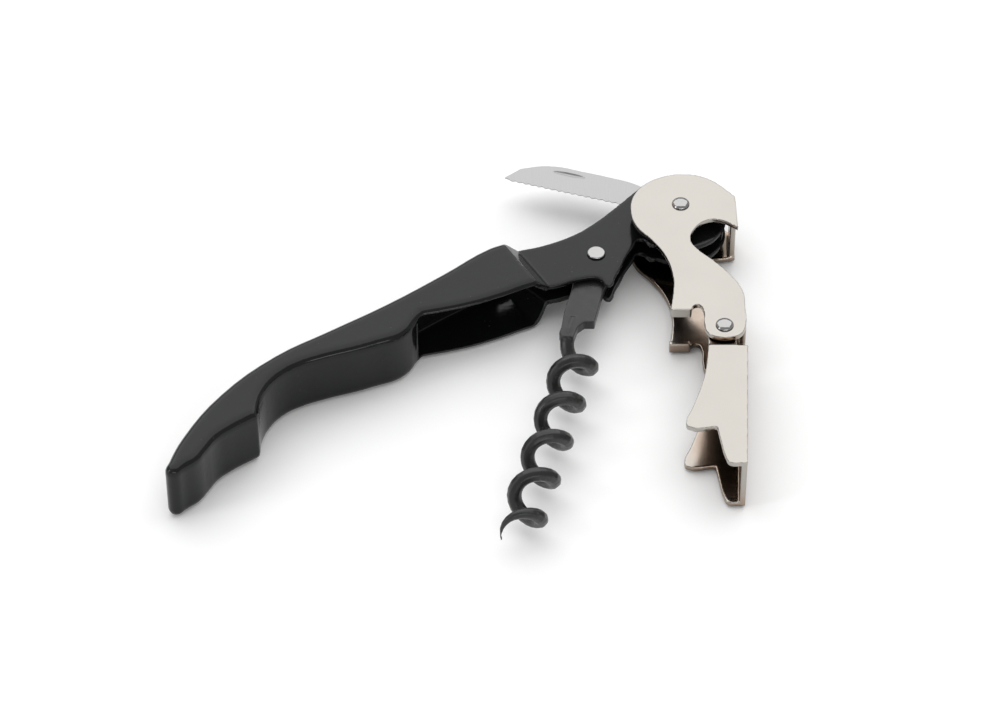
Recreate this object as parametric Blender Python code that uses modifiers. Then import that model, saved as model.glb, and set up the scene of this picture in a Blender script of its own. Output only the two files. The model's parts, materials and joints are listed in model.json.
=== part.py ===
"""Double-hinged waiter's corkscrew, lying on its side with the lever, worm and knife open."""

import math

import bmesh
import bpy

MM = 0.001

# Heights above the surface that the tool lies on, in millimetres.
GRIP_THICK = 11.6
GRIP_EDGE = 1.35
MID_Z = GRIP_THICK / 2
SHEET = 1.0
NECK_THICK = 4.6
RAMP_RUN = 3.1
RAMP_DROP = (GRIP_THICK - NECK_THICK) / 2
NECK_SLOT = 2.6
LEVER_THICK = 10.8
FIT = 0.3

# Joint axes in the plan view, in millimetres, and what centres the tool on the origin.
FRAME_SHIFT = (0.087, -0.111)
WORM_PIN = (23.8, 20.6)
LEVER_PIN = (39.1, 30.3)
LINK_PIN = (45.8, -0.7)
PIN_RADIUS = 1.1
HOLE_RADIUS = PIN_RADIUS + 0.15
HEAD_RADIUS = 1.6
HEAD_CHAMFER = 0.15
HEAD_GAP = 0.05
LEVER_EYE_RADIUS = 8.3
LINK_FROM_LEVER = (LINK_PIN[0] - LEVER_PIN[0], LINK_PIN[1] - LEVER_PIN[1])
FLAT_HEAD = 0.4
DOME_HEAD = 0.75
SET_HEAD = 0.35
BUSH_RADIUS = 3.0
SPACER_RADIUS = 1.9

# Worm.
WORM_RADIUS = 2.9
WIRE_RADIUS = 1.3
WORM_PITCH = 9.3
WORM_TURNS = 5.05
WORM_HEADING = math.radians(255.8)
WORM_OFFSET = 2.4
WORM_START = -18.5
WORM_LEAD = 5.0
SHANK_THICK = 2.0
POINT_TURNS = 0.5
POINT_LEAST = 0.15
POINT_POWER = 0.7
TURN_STEPS = 20
LEAD_STEPS = 8
WIRE_IN_SHANK = 3.0

# Shank outline, measured from the worm pin with the worm pointing along -Y.
SHANK_LEFT = [(-1.7, -20.2), (-2.0, -18.0), (-2.4, -14.0), (-2.5, -8.0), (-3.1, -2.0), (-2.2, 2.3)]
SHANK_TOP = [(0.0, 3.2), (2.2, 2.3), (3.2, -1.0), (3.1, -8.0), (3.3, -13.0)]
SHANK_HOOK = [(3.4, -15.6), (1.6, -16.1), (0.8, -17.4), (0.7, -20.2)]

# Blade.
BLADE_THICK = 1.0
TOOTH_PITCH = 1.25
TOOTH_DEPTH = 0.4

CURVE_STEPS = 4
SMOOTH_ANGLE = math.radians(35)

# Grip outline in plan; the single points are its corners.
GRIP_BACK = [
    (-49.8, -35.2), (-49.4, -33.4), (-47.4, -27.7), (-41.4, -17.4), (-32.4, -8.0),
    (-23.4, -1.9), (-13.4, 4.8), (-3.4, 12.5), (4.6, 19.0),
]
GRIP_CREST_BACK = (6.9, 20.1)
GRIP_BASE_BACK = (9.6, 21.4)
GRIP_BASE_FRONT = (15.3, 12.5)
GRIP_CREST_FRONT = (13.1, 9.7)
GRIP_LIP = [(10.6, 8.4), (6.6, 6.4), (1.6, 4.3), (-3.4, 2.8)]
GRIP_CUSP = (-7.0, 1.9)
GRIP_FRONT = [
    (-8.0, 0.4), (-9.2, -1.9), (-11.4, -3.9), (-14.7, -5.3), (-18.4, -6.8), (-23.4, -8.5),
    (-28.4, -10.7), (-31.2, -12.8), (-33.3, -15.8), (-34.5, -19.5),
]
GRIP_BUMP = (-34.7, -22.5)
GRIP_TAIL = [(-36.9, -24.0), (-39.4, -25.9), (-41.4, -27.8), (-43.0, -30.5), (-44.4, -32.9)]
TAIL_TIP = [(-46.4, -34.6), (-48.4, -36.2)]

# Neck outline in plan; it runs into the round eye about the lever pin.
NECK_BACK = [
    (5.0, 18.6), (9.6, 21.4), (13.6, 22.6), (19.9, 25.7), (23.6, 28.8), (28.6, 34.2), (31.0, 37.0),
    (33.3, 39.1),
]
NECK_SHOULDER = (36.5, 38.2)
NECK_FRONT = [
    (34.2, 22.9), (31.6, 24.6), (30.5, 22.7), (29.1, 20.0), (28.1, 17.3), (27.1, 15.0), (26.3, 12.8),
    (25.5, 12.8), (24.3, 14.4), (20.6, 14.2), (16.9, 12.6), (14.9, 12.2),
]
NECK_ROOT = [(9.0, 12.5), (4.0, 17.0)]

# Inside of the grip: where it opens to the neck and to the worm's channel.
HOLLOW_NECK = [(8.2, 19.0), (14.5, 12.0), (17.0, 10.0)]
HOLLOW_MOUTH = [(12.0, 4.0), (-5.5, -1.0), (-6.8, 1.8)]
SLOT = [(6.2, 45.0), (60.0, 45.0), (60.0, 0.0), (6.2, 0.0)]

# Lever outlines, measured from the lever pin and from the link pin.
UPPER_LEFT = [
    (-1.9, -21.4), (-1.9, -18.9), (-3.0, -13.7), (-5.5, -9.2), (-8.0, -5.9), (-9.0, -1.9), (-8.3, 2.6),
    (-6.0, 5.6), (-2.5, 7.5), (1.0, 8.0), (5.0, 6.9),
]
UPPER_CORNER = (9.9, 2.1)
HOOK_NEAR = (10.1, -6.0)
HOOK_FAR = (10.0, -3.5)
UPPER_NOTCH = [(7.0, -4.1), (4.5, -4.2), (2.3, -6.4), (1.5, -9.2), (2.5, -11.4)]
UPPER_RIGHT = [(5.5, -14.7), (9.0, -19.4), (10.4, -22.9), (10.5, -26.0)]
UPPER_END = [(10.4, -31.0), (9.6, -33.0), (8.2, -33.8), (5.2, -33.8), (3.6, -32.6), (3.2, -30.4)]
UPPER_RELIEF = [(3.1, -26.9), (2.4, -25.8), (1.4, -26.2)]
UPPER_STEP_INNER = (1.1, -27.1)
UPPER_STEP_OUTER = (-2.6, -27.1)
LOWER_SHOULDER_LEFT = (-3.0, -4.8)
LOWER_LEFT = [(-3.3, -7.8), (-3.6, -10.3), (-4.2, -13.3), (-6.2, -19.8)]
LOWER_TOOTH = [(-7.5, -23.5), (-7.2, -24.5)]
LOWER_STEP_INNER = (-2.2, -24.5)
LOWER_SLANT = [(-1.7, -28.0), (-1.1, -31.3), (-0.4, -32.9), (1.4, -33.1)]
LOWER_BOTTOM_RIGHT = (2.6, -33.1)
LOWER_SHOULDER_RIGHT = (3.9, -4.8)
EAR_RADIUS = 2.0
EAR_X = (-2.9, 2.0)
JOGGLE_TOP = -3.4
LIP_DEPTH = 2.1
WEB_EDGE = 9.9
WEB_UPPER_Y = (-3.4, 2.0)
WEB_LOWER_EDGE = 10.5
WEB_LOWER_Y = (-31.2, -24.0)

# Blade outline, measured from the lever pin, with the spine first.
BLADE_SPINE = [(-31.9, 12.9), (-27.5, 15.0), (-22.5, 15.4), (-17.5, 14.0), (-12.5, 12.4), (-7.5, 10.4)]
BLADE_TANG = [(-2.6, 6.2), (2.6, 3.0), (3.8, 0.0), (2.6, -3.0), (-0.5, -3.9), (-3.4, -2.2)]
BLADE_HEEL = (-8.0, 3.2)
BLADE_CUT_END = (-9.0, 5.0)
BLADE_CUT_START = (-30.8, 11.9)


def clear_scene():
    for ob in list(bpy.data.objects):
        bpy.data.objects.remove(ob, do_unlink=True)


def new_collection(name):
    coll = bpy.data.collections.new(name)
    bpy.context.scene.collection.children.link(coll)
    return coll


def material(name, colour, roughness, metallic):
    mat = bpy.data.materials.new(name)
    mat.use_nodes = True
    shader = mat.node_tree.nodes["Principled BSDF"]
    shader.inputs["Base Color"].default_value = (*colour, 1)
    shader.inputs["Roughness"].default_value = roughness
    shader.inputs["Metallic"].default_value = metallic
    return mat


def smooth(points):
    """Points on a smooth stretch of an outline."""
    return [(x, y, "AUTO") for x, y in points]


def corner(*points):
    """Points where an outline turns sharply."""
    return [(x, y, "VECTOR") for x, y in points]


def mesh_object(name, mesh, coll):
    ob = bpy.data.objects.new(name, mesh)
    coll.objects.link(ob)
    return ob


def from_curve(name, curve, coll):
    """The curve as a mesh object with its seams closed."""
    carrier = bpy.data.objects.new(name + "_curve", curve)
    bpy.context.scene.collection.objects.link(carrier)
    bpy.context.view_layer.update()
    depsgraph = bpy.context.evaluated_depsgraph_get()
    mesh = bpy.data.meshes.new_from_object(carrier.evaluated_get(depsgraph))
    bpy.data.objects.remove(carrier, do_unlink=True)
    bm = bmesh.new()
    bm.from_mesh(mesh)
    bmesh.ops.remove_doubles(bm, verts=bm.verts, dist=0.00001)
    bmesh.ops.recalc_face_normals(bm, faces=bm.faces)
    bm.to_mesh(mesh)
    bm.free()
    return mesh_object(name, mesh, coll)


def plate(name, points, low, high, coll, edge=0.0):
    """A flat outline in millimetres, filled from height low to high, with edges rounded to edge."""
    curve = bpy.data.curves.new(name, "CURVE")
    curve.dimensions = "2D"
    curve.fill_mode = "BOTH"
    curve.resolution_u = CURVE_STEPS
    curve.extrude = ((high - low) / 2 - edge) * MM
    if edge:
        curve.bevel_depth = edge * MM
        curve.bevel_resolution = 2
        curve.offset = -edge * MM
    spline = curve.splines.new("BEZIER")
    spline.bezier_points.add(len(points) - 1)
    spline.use_cyclic_u = True
    for point, (x, y, handle) in zip(spline.bezier_points, points):
        point.co = (x * MM, y * MM, 0)
        point.handle_left_type = handle
        point.handle_right_type = handle
    ob = from_curve(name, curve, coll)
    for vert in ob.data.vertices:
        vert.co.z += (low + high) / 2 * MM
    return ob


def disc(name, centre, radius, low, high, coll, sides=32):
    """An upright cylinder whose origin is on its own axis."""
    mesh = bpy.data.meshes.new(name)
    bm = bmesh.new()
    bmesh.ops.create_cone(bm, cap_ends=True, segments=sides, radius1=radius * MM, radius2=radius * MM,
                          depth=(high - low) * MM)
    bmesh.ops.translate(bm, verts=bm.verts, vec=(0, 0, (low + high) / 2 * MM))
    bm.to_mesh(mesh)
    bm.free()
    ob = mesh_object(name, mesh, coll)
    ob.location = (centre[0] * MM, centre[1] * MM, 0)
    return ob


def box(name, x, y, z, coll):
    """A box from three (low, high) pairs in millimetres."""
    mesh = bpy.data.meshes.new(name)
    bm = bmesh.new()
    bmesh.ops.create_cube(bm, size=1)
    for vert in bm.verts:
        vert.co.x = ((x[0] + x[1]) / 2 + vert.co.x * (x[1] - x[0])) * MM
        vert.co.y = ((y[0] + y[1]) / 2 + vert.co.y * (y[1] - y[0])) * MM
        vert.co.z = ((z[0] + z[1]) / 2 + vert.co.z * (z[1] - z[0])) * MM
    bm.to_mesh(mesh)
    bm.free()
    return mesh_object(name, mesh, coll)


def combine(ob, other, operation):
    """Apply one exact boolean to ob."""
    mod = ob.modifiers.new(other.name, "BOOLEAN")
    mod.object = other
    mod.operation = operation
    mod.solver = "EXACT"
    bpy.context.view_layer.update()
    depsgraph = bpy.context.evaluated_depsgraph_get()
    mesh = bpy.data.meshes.new_from_object(ob.evaluated_get(depsgraph))
    ob.modifiers.remove(mod)
    ob.data = mesh


def cut(ob, *cutters):
    for cutter in cutters:
        combine(ob, cutter, "DIFFERENCE")


def join(ob, *others):
    for other in others:
        combine(ob, other, "UNION")


def tidy_mesh(ob):
    """Merge stray vertices that booleans leave behind."""
    bm = bmesh.new()
    bm.from_mesh(ob.data)
    bmesh.ops.remove_doubles(bm, verts=bm.verts, dist=0.00002)
    bmesh.ops.dissolve_degenerate(bm, edges=bm.edges, dist=0.00001)
    bm.to_mesh(ob.data)
    bm.free()


def finish_part(ob, mat, parent):
    tidy_mesh(ob)
    ob.data.materials.clear()
    ob.data.materials.append(mat)
    ob.data.shade_smooth()
    ob.data.set_sharp_from_angle(angle=SMOOTH_ANGLE)
    ob.parent = parent


def pivot(name, centre, coll, parent=None):
    """An empty on a joint's axis."""
    empty = bpy.data.objects.new(name, None)
    empty.location = (centre[0] * MM, centre[1] * MM, 0)
    empty.empty_display_size = 0.01
    empty.parent = parent
    coll.objects.link(empty)
    return empty


def shifted(points, dx, dy):
    return [(x + dx, y + dy) for x, y in points]


def inset(points, distance):
    """The points of a closed outline moved inward, for an outline that runs clockwise."""
    moved = []
    count = len(points)
    for i, (x, y) in enumerate(points):
        px, py = points[i - 1]
        nx, ny = points[(i + 1) % count]
        length = math.hypot(nx - px, ny - py)
        moved.append((x + (ny - py) / length * distance, y - (nx - px) / length * distance))
    return moved


def prism(name, x, profile, coll):
    """A solid of the (y, z) profile in millimetres between two x values."""
    mesh = bpy.data.meshes.new(name)
    bm = bmesh.new()
    rim = bm.faces.new([bm.verts.new((x[0] * MM, y * MM, z * MM)) for y, z in profile])
    swept = bmesh.ops.extrude_face_region(bm, geom=[rim])
    verts = [v for v in swept["geom"] if isinstance(v, bmesh.types.BMVert)]
    bmesh.ops.translate(bm, verts=verts, vec=((x[1] - x[0]) * MM, 0, 0))
    bmesh.ops.recalc_face_normals(bm, faces=bm.faces)
    bm.to_mesh(mesh)
    bm.free()
    return mesh_object(name, mesh, coll)


def ramp_cutter(name, side, sink, coll):
    """A wedge above (side 1) or below (side -1) the slope from the grip down to the neck."""
    face = GRIP_THICK / 2 - sink * math.hypot(RAMP_RUN, RAMP_DROP) / RAMP_RUN
    slope = RAMP_DROP / RAMP_RUN
    reach = 9.0
    profile = [(-reach, face + reach * slope), (reach, face + reach * slope), (reach, face - reach * slope)]
    ob = prism(name, (-reach, 3 * reach), [(y, MID_Z + side * z) for y, z in profile], coll)
    ob.location = (GRIP_CREST_BACK[0] * MM, GRIP_CREST_BACK[1] * MM, 0)
    ob.rotation_euler.z = math.atan2(GRIP_CREST_FRONT[1] - GRIP_CREST_BACK[1],
                                     GRIP_CREST_FRONT[0] - GRIP_CREST_BACK[0])
    bpy.context.view_layer.update()
    return ob


def build_handle(coll, cutters, mat, parent):
    """Pressed-steel handle: hollow grip, open channel in front, and two neck cheeks."""
    neck_z = (MID_Z - NECK_THICK / 2, MID_Z + NECK_THICK / 2)
    ramp_corners = [GRIP_CREST_BACK, GRIP_BASE_BACK, GRIP_BASE_FRONT]
    tail = GRIP_FRONT + [GRIP_BUMP] + GRIP_TAIL + TAIL_TIP
    lip = [GRIP_CREST_FRONT] + GRIP_LIP
    outline = (smooth(GRIP_BACK) + corner(*ramp_corners) + smooth(lip) + corner(GRIP_CUSP)
               + smooth(GRIP_FRONT) + corner(GRIP_BUMP) + smooth(GRIP_TAIL + TAIL_TIP))
    shell = plate("handle_shell", outline, 0, GRIP_THICK, coll, GRIP_EDGE)
    cut(shell, ramp_cutter("ramp_top", 1, 0, cutters), ramp_cutter("ramp_bottom", -1, 0, cutters))
    neck_outline = (smooth(NECK_BACK) + corner(NECK_SHOULDER, LEVER_PIN)
                    + smooth(NECK_FRONT) + corner(*NECK_ROOT))
    neck = plate("neck", neck_outline, *neck_z, cutters)
    join(shell, neck, disc("eye", LEVER_PIN, LEVER_EYE_RADIUS, *neck_z, cutters, 48))
    inner = inset(GRIP_BACK + ramp_corners + lip + [GRIP_CUSP] + tail, SHEET)
    hollow_points = (smooth(inner[:len(GRIP_BACK) - 1]) + corner(*HOLLOW_NECK, *HOLLOW_MOUTH)
                     + smooth(inner[-len(tail) + 1:-1]))
    hollow = plate("hollow", hollow_points, SHEET, GRIP_THICK - SHEET, cutters)
    cut(hollow, ramp_cutter("inner_ramp_top", 1, SHEET, cutters),
        ramp_cutter("inner_ramp_bottom", -1, SHEET, cutters))
    slot = plate("neck_slot", corner(*SLOT), MID_Z - NECK_SLOT / 2, MID_Z + NECK_SLOT / 2, cutters)
    cut(shell, hollow, slot)
    for name, centre in (("worm_hole", WORM_PIN), ("lever_hole", LEVER_PIN)):
        cut(shell, disc(name, centre, HOLE_RADIUS, 0, GRIP_THICK, cutters))
    finish_part(shell, mat, parent)


def worm_route():
    """Points along the wire with their share of the full thickness; the lead eases into the helix."""
    lead_turn = WORM_LEAD / WORM_PITCH / 2
    route = [(WORM_OFFSET - WORM_RADIUS, WORM_START + WIRE_IN_SHANK, 0.0, 1)]
    places = [(lead_turn * (i / LEAD_STEPS) ** 2, WORM_START - WORM_LEAD * i / LEAD_STEPS)
              for i in range(LEAD_STEPS)]
    count = round((WORM_TURNS - lead_turn) * TURN_STEPS)
    helix_top = WORM_START - WORM_LEAD
    places += [(lead_turn + i / TURN_STEPS, helix_top - WORM_PITCH * i / TURN_STEPS)
               for i in range(count + 1)]
    for turn, y in places:
        angle = math.pi + 2 * math.pi * turn
        left = max(0, WORM_TURNS - turn) / POINT_TURNS
        route.append((WORM_OFFSET + WORM_RADIUS * math.cos(angle), y, WORM_RADIUS * math.sin(angle),
                      max(POINT_LEAST, min(1, left ** POINT_POWER))))
    return route


def build_worm(coll, cutters, mat, parent):
    """Right-handed helix on the mid-plane, a flat shank and the eye about its pin."""
    curve = bpy.data.curves.new("worm", "CURVE")
    curve.dimensions = "3D"
    curve.bevel_depth = WIRE_RADIUS * MM
    curve.bevel_resolution = 2
    curve.use_fill_caps = True
    route = worm_route()
    spline = curve.splines.new("POLY")
    spline.points.add(len(route) - 1)
    for point, (x, y, z, share) in zip(spline.points, route):
        point.co = (x * MM, y * MM, z * MM, 1)
        point.radius = share
    worm = from_curve("worm", curve, coll)
    shank = plate("shank", smooth(SHANK_LEFT + SHANK_TOP) + corner(*SHANK_HOOK),
                  -SHANK_THICK / 2, SHANK_THICK / 2, cutters)
    join(worm, shank)
    cut(worm, disc("worm_bore", (0, 0), HOLE_RADIUS, -SHANK_THICK, SHANK_THICK, cutters))
    worm.location.z = MID_Z * MM
    worm.rotation_euler.z = WORM_HEADING + math.pi / 2
    finish_part(worm, mat, parent)


def cheeks(name, upper, lower, outer, coll, cutters):
    """Two sheets on either side of the mid-plane, their outer faces outer from it."""
    ob = plate(name, upper, MID_Z + outer - SHEET, MID_Z + outer, coll)
    join(ob, plate(name + "_far", lower, MID_Z - outer, MID_Z - outer + SHEET, cutters))
    return ob


def build_lever_upper(coll, cutters, mat, parent):
    """First lever stage: two cheeks, two webs on the outer side, and inward lips on the step."""
    near, far = [corner(UPPER_STEP_OUTER) + smooth(UPPER_LEFT) + corner(UPPER_CORNER, hook)
                 + smooth(UPPER_NOTCH + UPPER_RIGHT + UPPER_END + UPPER_RELIEF) + corner(UPPER_STEP_INNER)
                 for hook in (HOOK_NEAR, HOOK_FAR)]
    half = LEVER_THICK / 2
    lever = cheeks("lever_upper", near, far, half, coll, cutters)
    full = (MID_Z - half + SHEET / 2, MID_Z + half - SHEET / 2)
    join(lever, box("web_upper", (WEB_EDGE - SHEET, WEB_EDGE), WEB_UPPER_Y, full, cutters),
         box("web_lower", (WEB_LOWER_EDGE - SHEET, WEB_LOWER_EDGE), WEB_LOWER_Y, full, cutters))
    lip_x = (UPPER_STEP_OUTER[0], UPPER_STEP_INNER[0])
    lip_y = (UPPER_STEP_OUTER[1], UPPER_STEP_OUTER[1] + SHEET)
    join(lever, box("lip_top", lip_x, lip_y, (MID_Z + half - LIP_DEPTH, MID_Z + half - SHEET / 2), cutters),
         box("lip_bottom", lip_x, lip_y, (MID_Z - half + SHEET / 2, MID_Z - half + LIP_DEPTH), cutters))
    cut(lever, disc("lever_bore", (0, 0), HOLE_RADIUS, -1, GRIP_THICK + 1, cutters),
        disc("link_bore", LINK_FROM_LEVER, HOLE_RADIUS, -1, GRIP_THICK + 1, cutters))
    finish_part(lever, mat, parent)


def build_lever_lower(coll, cutters, mat, parent):
    """Second lever stage: two cheeks, a web, and ears that step in beside the upper cheeks."""
    outline = (corner(LOWER_SHOULDER_LEFT) + smooth(LOWER_LEFT + LOWER_TOOTH) + corner(LOWER_STEP_INNER)
               + smooth(LOWER_SLANT) + corner(LOWER_BOTTOM_RIGHT, LOWER_SHOULDER_RIGHT))[::-1]
    half = LEVER_THICK / 2
    ear_outer = half - SHEET - FIT
    lever = cheeks("lever_lower", outline, outline, half, coll, cutters)
    web = corner(LOWER_SHOULDER_RIGHT, LOWER_BOTTOM_RIGHT,
                 *shifted([LOWER_BOTTOM_RIGHT, LOWER_SHOULDER_RIGHT], -SHEET, 0))
    join(lever, plate("web", web, MID_Z - half + SHEET / 2, MID_Z + half - SHEET / 2, cutters))
    foot = LOWER_SHOULDER_LEFT[1] - SHEET
    for side in (1, -1):
        ear_z = sorted((MID_Z + side * ear_outer, MID_Z + side * (ear_outer - SHEET)))
        ear = disc("ear", (0, 0), EAR_RADIUS, *ear_z, cutters)
        join(ear, box("ear_strip", EAR_X, (foot, 0), ear_z, cutters))
        slope = [(foot, ear_outer - SHEET), (foot, half), (LOWER_SHOULDER_LEFT[1], half),
                 (JOGGLE_TOP, ear_outer), (JOGGLE_TOP, ear_outer - SHEET)]
        join(ear, prism("joggle", EAR_X, [(y, MID_Z + side * z) for y, z in slope], cutters))
        join(lever, ear)
    cut(lever, disc("ear_bore", (0, 0), HOLE_RADIUS, -1, GRIP_THICK + 1, cutters))
    finish_part(lever, mat, parent)


def serrated(start, end):
    """Zigzag teeth along a straight cutting edge."""
    length = math.dist(start, end)
    count = round(length / TOOTH_PITCH)
    along = ((end[0] - start[0]) / length, (end[1] - start[1]) / length)
    points = []
    for i in range(count):
        tip = i * length / count
        gap = (i + 0.5) * length / count
        points.append((start[0] + along[0] * tip, start[1] + along[1] * tip))
        points.append((start[0] + along[0] * gap - along[1] * TOOTH_DEPTH,
                       start[1] + along[1] * gap + along[0] * TOOTH_DEPTH))
    return points


def build_knife(coll, cutters, mat, parent):
    """Foil cutter: a curved spine, a serrated edge and a tang about the lever pin."""
    teeth = serrated(BLADE_CUT_END, BLADE_CUT_START)
    outline = smooth(BLADE_SPINE + BLADE_TANG) + corner(BLADE_HEEL, *teeth, BLADE_CUT_START)
    knife = plate("knife_blade", outline, MID_Z - BLADE_THICK / 2, MID_Z + BLADE_THICK / 2, coll)
    cut(knife, disc("blade_bore", (0, 0), HOLE_RADIUS, 0, GRIP_THICK, cutters))
    finish_part(knife, mat, parent)


def ring(name, outer, low, high, coll, cutters, mat, parent):
    """A washer or tube about a pin."""
    ob = disc(name, (0, 0), outer, low, high, coll, 40)
    cut(ob, disc(name + "_bore", (0, 0), HOLE_RADIUS, low - 1, high + 1, cutters))
    finish_part(ob, mat, parent)


def head_profile(half, head, dome):
    """Half of a rivet's profile, from the middle of its head's top out to the shank."""
    if not dome:
        return [(0, half + head), (HEAD_RADIUS - HEAD_CHAMFER, half + head),
                (HEAD_RADIUS, half + head - HEAD_CHAMFER),
                (HEAD_RADIUS, half), (PIN_RADIUS, half)]
    arc = [math.radians(a) for a in range(90, -1, -15)]
    return ([(HEAD_RADIUS * math.cos(a), half + head * math.sin(a)) for a in arc]
            + [(PIN_RADIUS, half)])


def rivet(name, half, upper_head, lower_head, dome, coll, mat, parent):
    """A turned pin with a head above and a head below the mid-plane."""
    upper = head_profile(half, upper_head, dome)
    lower = head_profile(half, lower_head, dome)
    profile = upper + [(x, -z) for x, z in reversed(lower)]
    mesh = bpy.data.meshes.new(name)
    bm = bmesh.new()
    verts = [bm.verts.new((x * MM, 0, (MID_Z + z) * MM)) for x, z in profile]
    for first, second in zip(verts, verts[1:]):
        bm.edges.new((first, second))
    bm.to_mesh(mesh)
    bm.free()
    ob = mesh_object(name, mesh, coll)
    screw = ob.modifiers.new("turn", "SCREW")
    screw.axis = "Z"
    screw.steps = 32
    screw.render_steps = 32
    screw.use_merge_vertices = True
    screw.merge_threshold = 0.00001
    screw.use_smooth_shade = True
    mesh.materials.append(mat)
    ob.parent = parent


def main():
    clear_scene()
    coll = new_collection("corkscrew")
    cutters = new_collection("cutters")
    black = material("black_coating", (0.03, 0.03, 0.03), 0.35, 0.0)
    nickel = material("nickel_plate", (0.75, 0.72, 0.68), 0.25, 1.0)
    black_steel = material("black_steel", (0.03, 0.03, 0.03), 0.4, 0.2)
    blade_steel = material("blade_steel", (0.6, 0.6, 0.6), 0.35, 1.0)
    bright_steel = material("bright_steel", (0.7, 0.7, 0.7), 0.25, 1.0)

    frame = pivot("frame", FRAME_SHIFT, coll)
    worm_pin_axis = pivot("worm_pin_axis", WORM_PIN, coll, frame)
    worm_axis = pivot("worm_axis", WORM_PIN, coll, frame)
    lever_pin_axis = pivot("lever_pin_axis", LEVER_PIN, coll, frame)
    lever_axis = pivot("lever_axis", LEVER_PIN, coll, frame)
    knife_axis = pivot("knife_axis", LEVER_PIN, coll, frame)
    link_axis = pivot("link_axis", LINK_FROM_LEVER, coll, lever_axis)
    link_pin_axis = pivot("link_pin_axis", LINK_FROM_LEVER, coll, lever_axis)

    half = LEVER_THICK / 2
    neck_half = NECK_THICK / 2
    bush = (neck_half + FIT / 2, half - SHEET - FIT / 2)
    washer = (BLADE_THICK / 2 + FIT / 2, NECK_SLOT / 2 - FIT / 2)
    build_handle(coll, cutters, black, frame)
    build_worm(coll, cutters, black_steel, worm_axis)
    build_lever_upper(coll, cutters, nickel, lever_axis)
    build_lever_lower(coll, cutters, nickel, link_axis)
    build_knife(coll, cutters, blade_steel, knife_axis)
    rivet("worm_pin", neck_half + HEAD_GAP, FLAT_HEAD, FLAT_HEAD, False, coll, bright_steel, worm_pin_axis)
    rivet("lever_pin", half + HEAD_GAP, DOME_HEAD, SET_HEAD, True, coll, bright_steel, lever_pin_axis)
    rivet("link_pin", half + HEAD_GAP, DOME_HEAD, SET_HEAD, True, coll, bright_steel, link_pin_axis)
    spacer = half - 2 * SHEET - 2 * FIT
    rings = (
        ("lever_bush_top", BUSH_RADIUS, bush[0], bush[1], lever_axis),
        ("lever_bush_bottom", BUSH_RADIUS, -bush[1], -bush[0], lever_axis),
        ("knife_washer_top", BUSH_RADIUS, washer[0], washer[1], knife_axis),
        ("knife_washer_bottom", BUSH_RADIUS, -washer[1], -washer[0], knife_axis),
        ("link_spacer", SPACER_RADIUS, -spacer, spacer, link_pin_axis),
    )
    for name, outer, low, high, axis in rings:
        ring(name, outer, MID_Z + low, MID_Z + high, coll, cutters, bright_steel, axis)

    for ob in cutters.objects:
        ob.hide_render = True
        ob.display_type = "WIRE"


main()
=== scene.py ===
"""Looks for the waiter's corkscrew: softened pressed-metal shapes, procedural finishes, studio light."""

import json
import math

import bmesh
import bpy
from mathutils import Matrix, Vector


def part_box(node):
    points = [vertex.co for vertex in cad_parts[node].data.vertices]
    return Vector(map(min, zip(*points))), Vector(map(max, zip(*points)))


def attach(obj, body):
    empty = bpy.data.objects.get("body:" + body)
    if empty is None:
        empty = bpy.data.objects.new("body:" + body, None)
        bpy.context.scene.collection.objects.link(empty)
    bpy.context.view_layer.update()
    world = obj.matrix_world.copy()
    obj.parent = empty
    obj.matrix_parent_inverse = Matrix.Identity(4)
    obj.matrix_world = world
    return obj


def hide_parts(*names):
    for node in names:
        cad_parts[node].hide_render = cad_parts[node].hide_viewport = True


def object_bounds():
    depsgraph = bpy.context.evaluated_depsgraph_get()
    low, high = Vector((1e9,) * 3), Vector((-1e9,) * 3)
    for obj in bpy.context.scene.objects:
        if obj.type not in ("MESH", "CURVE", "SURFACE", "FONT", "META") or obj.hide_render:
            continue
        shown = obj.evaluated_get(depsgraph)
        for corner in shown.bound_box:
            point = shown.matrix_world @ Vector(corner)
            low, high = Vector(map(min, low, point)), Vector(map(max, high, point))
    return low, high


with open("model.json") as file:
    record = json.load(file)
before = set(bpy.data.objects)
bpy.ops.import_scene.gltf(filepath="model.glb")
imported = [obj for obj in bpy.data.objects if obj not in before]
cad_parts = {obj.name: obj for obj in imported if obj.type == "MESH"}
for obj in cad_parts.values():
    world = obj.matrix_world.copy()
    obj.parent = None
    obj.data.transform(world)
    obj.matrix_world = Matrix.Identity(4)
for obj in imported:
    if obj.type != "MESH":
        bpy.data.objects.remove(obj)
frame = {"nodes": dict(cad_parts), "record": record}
CAD_LOW, CAD_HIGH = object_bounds()
MM = 0.001
SEAM_GAP = 0.005 * MM

# Skin of each kind of piece: voxel size in millimetres, then rounds of smoothing.
HANDLE_SKIN = (0.24, 6)
LEVER_SKIN = (0.16, 5)
WORM_SKIN = (0.16, 7)
BLADE_SKIN = (0.07, 1)
RIVET_SKIN = (0.08, 2)
RING_SKIN = (0.1, 2)

# How far a surface looks for a wall beside it, in metres, when it asks whether it is in a channel, where
# the nickel gets painted shade.
CHANNEL_REACH = 0.012

FLOOR_SIZE = 6
ROOM_STRENGTH = 0.5

# Camera: how far its aim lies from the middle of the tool, its height angle, distance and lens.
AIM = (0.0067, -0.0086, 0.0056)
CAMERA_ELEVATION = math.radians(45)
CAMERA_DISTANCE = 0.7
LENS_MM = 145.7
SENSOR_MM = 36
CLIP_START = 0.01

# Nail nick of the blade, in millimetres from the lever pin.
NICK_FROM_PIN = (-19.8, 13.2)
NICK_LENGTH = 6.0
NICK_WIDTH = 0.9
NICK_DEPTH = 0.35
NICK_TURN = math.radians(-17)

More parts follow.
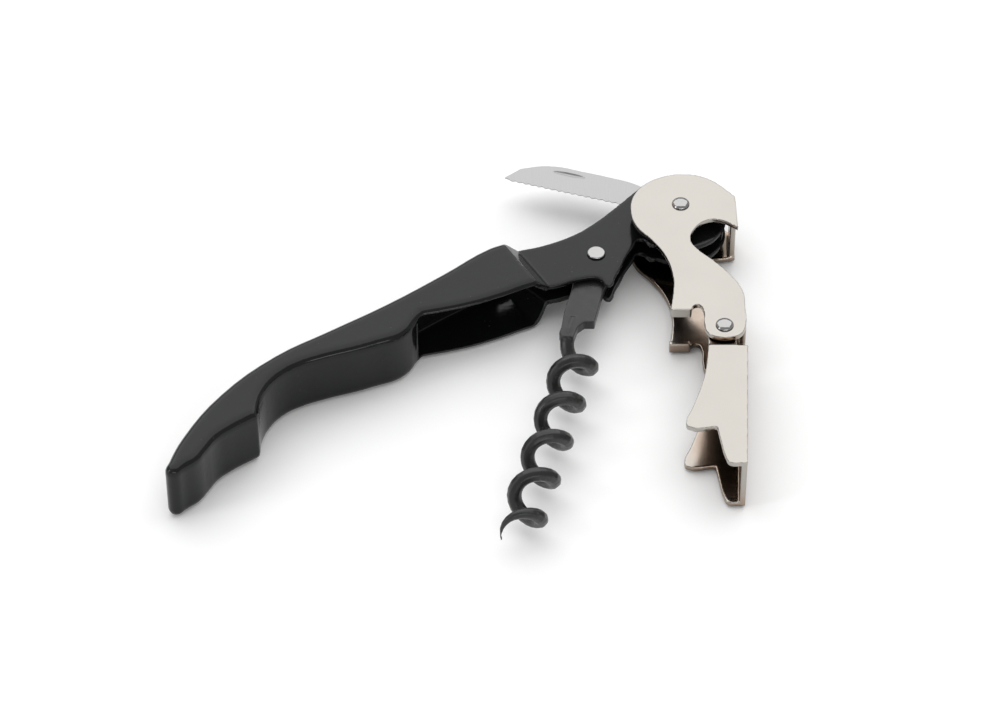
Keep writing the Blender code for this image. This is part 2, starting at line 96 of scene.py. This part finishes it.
# Ground edge and slanting tip of the blade, also from the lever pin.
EDGE_HEEL = Vector((-9.0, 5.0, 0))
EDGE_TIP = Vector((-30.8, 11.9, 0))
GRIND_WIDTH = 3.2
EDGE_THICK = 0.2
TIP_CUT_START = Vector((-28.0, 15.3, 0))
TIP_CUT_END = Vector((-32.4, 11.8, 0))
CUTTER_SIZE = 60


# ---------------------------------------------------------------- shading helpers

class Nodes:
    """A short way to write a material's nodes and links."""

    def __init__(self, name):
        self.mat = bpy.data.materials.new(name)
        self.mat.use_nodes = True
        self.tree = self.mat.node_tree
        self.shader = self.tree.nodes["Principled BSDF"]

    def add(self, kind, **inputs):
        node = self.tree.nodes.new(kind)
        for key, value in inputs.items():
            self.feed(value, node.inputs[key.replace("_", " ")])
        return node

    def feed(self, value, socket):
        if isinstance(value, bpy.types.NodeSocket):
            self.tree.links.new(value, socket)
        else:
            socket.default_value = value

    def set(self, name, value):
        self.feed(value, self.shader.inputs[name])

    def place(self, stretch=(1, 1, 1), turn=0.0):
        coords = self.tree.nodes.new("ShaderNodeTexCoord")
        mapping = self.add("ShaderNodeMapping", Vector=coords.outputs["Object"], Scale=stretch,
                           Rotation=(0, 0, turn))
        return mapping.outputs["Vector"]

    def noise(self, vector, scale, detail=4.0, rough=0.5):
        node = self.add("ShaderNodeTexNoise", Vector=vector, Scale=scale, Detail=detail, Roughness=rough)
        return node.outputs["Fac"]

    def remap(self, value, low, high, out_low, out_high):
        node = self.tree.nodes.new("ShaderNodeMapRange")
        self.feed(value, node.inputs["Value"])
        ends = {"From Min": low, "From Max": high, "To Min": out_low, "To Max": out_high}
        for key, number in ends.items():
            node.inputs[key].default_value = number
        return node.outputs["Result"]

    def mix(self, share, first, second):
        node = self.tree.nodes.new("ShaderNodeMix")
        node.data_type = "RGBA"
        self.feed(share, node.inputs[0])
        self.feed(first, node.inputs[6])
        self.feed(second, node.inputs[7])
        return node.outputs[2]

    def math(self, operation, first, second):
        node = self.tree.nodes.new("ShaderNodeMath")
        node.operation = operation
        self.feed(first, node.inputs[0])
        self.feed(second, node.inputs[1])
        return node.outputs[0]

    def bump(self, height, strength, distance):
        node = self.add("ShaderNodeBump", Height=height, Strength=strength, Distance=distance)
        self.set("Normal", node.outputs["Normal"])

    def open_air(self, distance, low, high):
        """1 where a surface is open to the room, 0 deep inside a channel; it masks the painted shade."""
        node = self.tree.nodes.new("ShaderNodeAmbientOcclusion")
        node.samples = 8
        node.inputs["Distance"].default_value = distance
        return self.remap(node.outputs["AO"], low, high, 0.0, 1.0)

    def sharp_edge_mask(self, low=0.52, high=0.6):
        """1 on sharp outer edges and 0 elsewhere: the mask for rubbed wear, thinner paint and painted
        edge highlights.
        """
        geometry = self.tree.nodes.new("ShaderNodeNewGeometry")
        return self.remap(geometry.outputs["Pointiness"], low, high, 0.0, 1.0)


def grey(level, warm=0.0):
    return (level * (1 + warm), level, level * (1 - warm), 1)


def black_coating():
    """Glossy baked enamel with a fine orange peel, dust specks and lighter edges: thinner paint there,
    together with a painted edge highlight.
    """
    n = Nodes("black_coating")
    at = n.place()
    cloud = n.noise(at, 90, 3)
    specks = n.add("ShaderNodeTexVoronoi", Vector=at, Scale=1400).outputs["Distance"]
    dust = n.remap(specks, 0.10, 0.06, 0.0, 1.0)
    rare = n.remap(n.noise(at, 330, 2), 0.60, 0.66, 0.0, 1.0)
    speck = n.math("MULTIPLY", dust, rare)
    base = n.mix(cloud, grey(0.0045, -0.06), grey(0.008, -0.06))
    # Sharp edges painted lighter grey: partly thinner paint, partly a painted edge highlight.
    base = n.mix(n.math("MULTIPLY", n.sharp_edge_mask(), 0.6), base, grey(0.10))
    n.set("Base Color", n.mix(n.math("MULTIPLY", speck, 0.5), base, grey(0.22)))
    n.set("Roughness", n.remap(n.noise(at, 260, 4), 0.3, 0.7, 0.10, 0.18))
    n.set("Specular IOR Level", 0.27)
    peel = n.math("ADD", n.noise(at, 900, 2), n.math("MULTIPLY", speck, 0.6))
    n.bump(peel, 0.22, 0.0001)
    return n.mat


def satin_black():
    """Black phosphate-like finish of the worm, rubbed lighter on its crests."""
    n = Nodes("worm_satin_black")
    at = n.place()
    base = n.mix(n.noise(at, 400, 4), grey(0.007), grey(0.016))
    base = n.mix(n.math("MULTIPLY", n.sharp_edge_mask(0.505, 0.56), 0.25), base, grey(0.10))
    n.set("Base Color", base)
    n.set("Roughness", n.remap(n.noise(at, 700, 5), 0.3, 0.7, 0.26, 0.4))
    n.set("Specular IOR Level", 0.45)
    n.bump(n.noise(at, 1600, 3), 0.25, 0.00006)
    return n.mat


def nickel():
    """Warm nickel plate with fine scratches and a clouded sheen. Its sharp edges carry a brown
    sheared-edge tint mixed with painted glints and painted dark reflection, and its colour is painted
    dark brown inside the folds as painted shade.
    """
    n = Nodes("nickel_plate")
    at = n.place()
    scratches = n.noise(n.place((1, 26, 1), 0.5), 420, 4)
    other = n.noise(n.place((30, 1, 1), 0.2), 380, 4)
    cloud = n.noise(at, 120, 4)
    colour = n.mix(cloud, (0.37, 0.352, 0.325, 1), (0.41, 0.392, 0.362, 1))
    # Sharp edges: partly a brown sheared-edge tint, partly painted light, as noise mixes dark brown
    # painted reflection with light painted glints.
    sheared_tint_and_glint = n.mix(n.noise(at, 350, 3), (0.10, 0.08, 0.06, 1), (0.45, 0.41, 0.37, 1))
    colour = n.mix(n.math("MULTIPLY", n.sharp_edge_mask(0.53, 0.60), 0.7), colour, sheared_tint_and_glint)
    # Painted shade: where ambient occlusion finds a wall close by, inside the channels, the plate's
    # colour is painted dark brown, through a lighter brown band, instead of nickel.
    deep = n.mix(n.noise(at, 260, 3), (0.060, 0.048, 0.036, 1), (0.20, 0.165, 0.13, 1))
    painted_brown_shade = n.mix(n.noise(at, 500, 3), (0.30, 0.20, 0.14, 1), (0.52, 0.41, 0.33, 1))
    shade = n.mix(n.open_air(CHANNEL_REACH, 0.34, 0.56), deep, painted_brown_shade)
    n.set("Base Color", n.mix(n.open_air(CHANNEL_REACH, 0.56, 0.76), shade, colour))
    n.set("Metallic", 1.0)
    rough = n.math("ADD", n.remap(cloud, 0.3, 0.7, 0.15, 0.22), n.remap(scratches, 0.6, 0.75, 0.0, 0.07))
    n.set("Roughness", rough)
    grain = n.math("ADD", n.math("MULTIPLY", scratches, 0.5), n.math("MULTIPLY", other, 0.5))
    n.bump(grain, 0.10, 0.00004)
    return n.mat


def blade_steel():
    """Satin stainless steel ground across the blade."""
    n = Nodes("blade_steel")
    grain = n.noise(n.place((60, 2, 1), -0.35), 150, 6)
    at = n.place()
    n.set("Base Color", n.mix(grain, grey(0.30), grey(0.40)))
    n.set("Metallic", 1.0)
    n.set("Roughness", n.remap(grain, 0.3, 0.7, 0.30, 0.44))
    n.bump(n.math("ADD", grain, n.math("MULTIPLY", n.noise(at, 700, 3), 0.3)), 0.18, 0.00004)
    return n.mat


def bright_steel(name, level):
    """Burnished steel with a clouded sheen and a faint grain."""
    n = Nodes(name)
    at = n.place()
    cloud = n.noise(at, 500, 4)
    n.set("Base Color", n.mix(cloud, grey(level * 0.92, 0.01), grey(level, 0.01)))
    n.set("Metallic", 1.0)
    n.set("Roughness", n.remap(cloud, 0.3, 0.7, 0.08, 0.16))
    n.bump(n.noise(at, 1500, 3), 0.10, 0.00005)
    return n.mat


def floor_paper():
    n = Nodes("pale_floor")
    at = n.place()
    n.set("Base Color", n.mix(n.noise(at, 30, 3), grey(0.93), grey(0.95)))
    n.set("Roughness", 0.9)
    n.bump(n.noise(at, 900, 4), 0.05, 0.0001)
    return n.mat


# ---------------------------------------------------------------- pieces

def body_name(node):
    for body, nodes in frame["record"]["behaviour"]["bodies"].items():
        if node in nodes:
            return body
    raise KeyError(node)


def copy_of(node, suffix="_look"):
    """A free copy of a CAD node's mesh with its seams closed."""
    source = frame["nodes"][node]
    mesh = source.data.copy()
    ob = bpy.data.objects.new(node + suffix, mesh)
    ob.matrix_world = source.matrix_world.copy()
    bpy.context.scene.collection.objects.link(ob)
    bm = bmesh.new()
    bm.from_mesh(mesh)
    bmesh.ops.remove_doubles(bm, verts=bm.verts, dist=SEAM_GAP)
    bm.to_mesh(mesh)
    bm.free()
    return ob


def apply_modifiers(ob):
    bpy.context.view_layer.update()
    depsgraph = bpy.context.evaluated_depsgraph_get()
    mesh = bpy.data.meshes.new_from_object(ob.evaluated_get(depsgraph))
    ob.modifiers.clear()
    ob.data = mesh


def soften(ob, voxel, rounds):
    """Rebuild the surface as an even skin and round its edges as pressed sheet is."""
    remesh = ob.modifiers.new("skin", "REMESH")
    remesh.mode = "VOXEL"
    remesh.voxel_size = voxel * MM
    remesh.adaptivity = 0
    relax = ob.modifiers.new("round", "SMOOTH")
    relax.factor = 0.5
    relax.iterations = rounds
    apply_modifiers(ob)
    ob.data.shade_smooth()


def wear(ob, mat):
    ob.data.materials.clear()
    ob.data.materials.append(mat)


def stand_in(ob, node, mat):
    """ob takes the place of a CAD node."""
    wear(ob, mat)
    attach(ob, body_name(node))
    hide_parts(node)


def softened_piece(node, mat, skin):
    ob = copy_of(node)
    soften(ob, *skin)
    stand_in(ob, node, mat)


def joint_place(name):
    """A joint's axis point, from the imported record."""
    for joint in frame["record"]["behaviour"]["joints"]:
        if joint["name"] == name:
            return Vector(joint["pos_m"])
    raise KeyError(name)


def cut_with(ob, cutter):
    mod = ob.modifiers.new("cut", "BOOLEAN")
    mod.object = cutter
    mod.solver = "EXACT"
    apply_modifiers(ob)
    bpy.data.objects.remove(cutter, do_unlink=True)


def half_space(point, into):
    """A large cube that starts at point and fills the side that into points to."""
    bpy.ops.mesh.primitive_cube_add(size=CUTTER_SIZE * MM)
    cube = bpy.context.object
    cube.rotation_euler = into.to_track_quat("Z", "Y").to_euler()
    cube.location = point + into.normalized() * CUTTER_SIZE / 2 * MM
    bpy.context.view_layer.update()
    return cube


def grind_blade(blade, pin, low, high):
    """Grind the underside thin towards the teeth, and slant the spine down to the tip."""
    along = (EDGE_TIP - EDGE_HEEL).normalized()
    outward = Vector((-along.y, along.x, 0))
    edge = pin + EDGE_HEEL * MM
    edge.z = high - EDGE_THICK * MM
    rise = edge.z - low
    cut_with(blade, half_space(edge, outward * rise - Vector((0, 0, GRIND_WIDTH * MM))))
    slant = (TIP_CUT_END - TIP_CUT_START).normalized()
    middle = pin + (TIP_CUT_START + TIP_CUT_END) / 2 * MM
    cut_with(blade, half_space(middle, Vector((slant.y, -slant.x, 0))))


def build_blade():
    """The foil cutter with its nail nick milled into the upper face."""
    blade = copy_of("knife_blade")
    (_, _, low), (_, _, top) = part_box("knife_blade")
    pin = joint_place("knife_hinge")
    grind_blade(blade, pin, low, top)
    nick = pin + Vector((*NICK_FROM_PIN, 0)) * MM
    bpy.ops.mesh.primitive_uv_sphere_add(segments=48, ring_count=24, radius=1,
                                         location=(nick.x, nick.y, top))
    cutter = bpy.context.object
    cutter.scale = (NICK_LENGTH / 2 * MM, NICK_WIDTH / 2 * MM, NICK_DEPTH * MM)
    cutter.rotation_euler.z = NICK_TURN
    bpy.context.view_layer.update()
    cut_with(blade, cutter)
    soften(blade, *BLADE_SKIN)
    stand_in(blade, "knife_blade", blade_steel())


# ---------------------------------------------------------------- stage

def build_stage():
    bpy.ops.mesh.primitive_plane_add(size=FLOOR_SIZE, location=(0, 0, CAD_LOW[2]))
    floor = bpy.context.object
    floor.name = "floor"
    wear(floor, floor_paper())


def area_light(name, place, size, watts, aim=(0, 0, 0)):
    data = bpy.data.lights.new(name, "AREA")
    data.shape = "RECTANGLE"
    data.size, data.size_y = size
    data.energy = watts
    ob = bpy.data.objects.new(name, data)
    ob.location = place
    ob.rotation_euler = (Vector(aim) - Vector(place)).to_track_quat("-Z", "Y").to_euler()
    bpy.context.scene.collection.objects.link(ob)


def build_light():
    world = bpy.data.worlds.new("studio")
    world.use_nodes = True
    background = world.node_tree.nodes["Background"]
    background.inputs["Color"].default_value = (1, 1, 1, 1)
    background.inputs["Strength"].default_value = ROOM_STRENGTH
    bpy.context.scene.world = world
    area_light("top_softbox", (0.0, 0.55, 0.9), (2.0, 1.6), 14)
    area_light("left_strip", (-0.9, -0.3, 0.35), (0.25, 0.8), 2.0)
    area_light("front_strip", (0.25, -1.0, 0.45), (0.9, 0.2), 2.5)


def build_camera():
    middle = Vector([(a + b) / 2 for a, b in zip(CAD_LOW, CAD_HIGH)])
    aim = middle + Vector(AIM)
    data = bpy.data.cameras.new("camera")
    data.lens = LENS_MM
    data.sensor_width = SENSOR_MM
    data.clip_start = CLIP_START
    data.dof.use_dof = False
    ob = bpy.data.objects.new("camera", data)
    away = Vector((0, -math.cos(CAMERA_ELEVATION), math.sin(CAMERA_ELEVATION)))
    ob.location = aim + CAMERA_DISTANCE * away
    ob.rotation_euler = (math.pi / 2 - CAMERA_ELEVATION, 0, 0)
    bpy.context.scene.collection.objects.link(ob)
    bpy.context.scene.camera = ob


bpy.context.scene.view_settings.view_transform = "Standard"
build_camera()
build_stage()
build_light()

softened_piece("handle_shell", black_coating(), HANDLE_SKIN)
plate = nickel()
softened_piece("lever_upper", plate, LEVER_SKIN)
softened_piece("lever_lower", plate, LEVER_SKIN)
softened_piece("worm", satin_black(), WORM_SKIN)
build_blade()
rivet_steel = bright_steel("rivet_steel", 0.36)
for rivet in ("worm_pin", "lever_pin", "link_pin"):
    softened_piece(rivet, rivet_steel, RIVET_SKIN)
washer_steel = bright_steel("washer_steel", 0.6)
for ring in ("lever_bush_top", "lever_bush_bottom",
             "knife_washer_top", "knife_washer_bottom", "link_spacer"):
    softened_piece(ring, washer_steel, RING_SKIN)
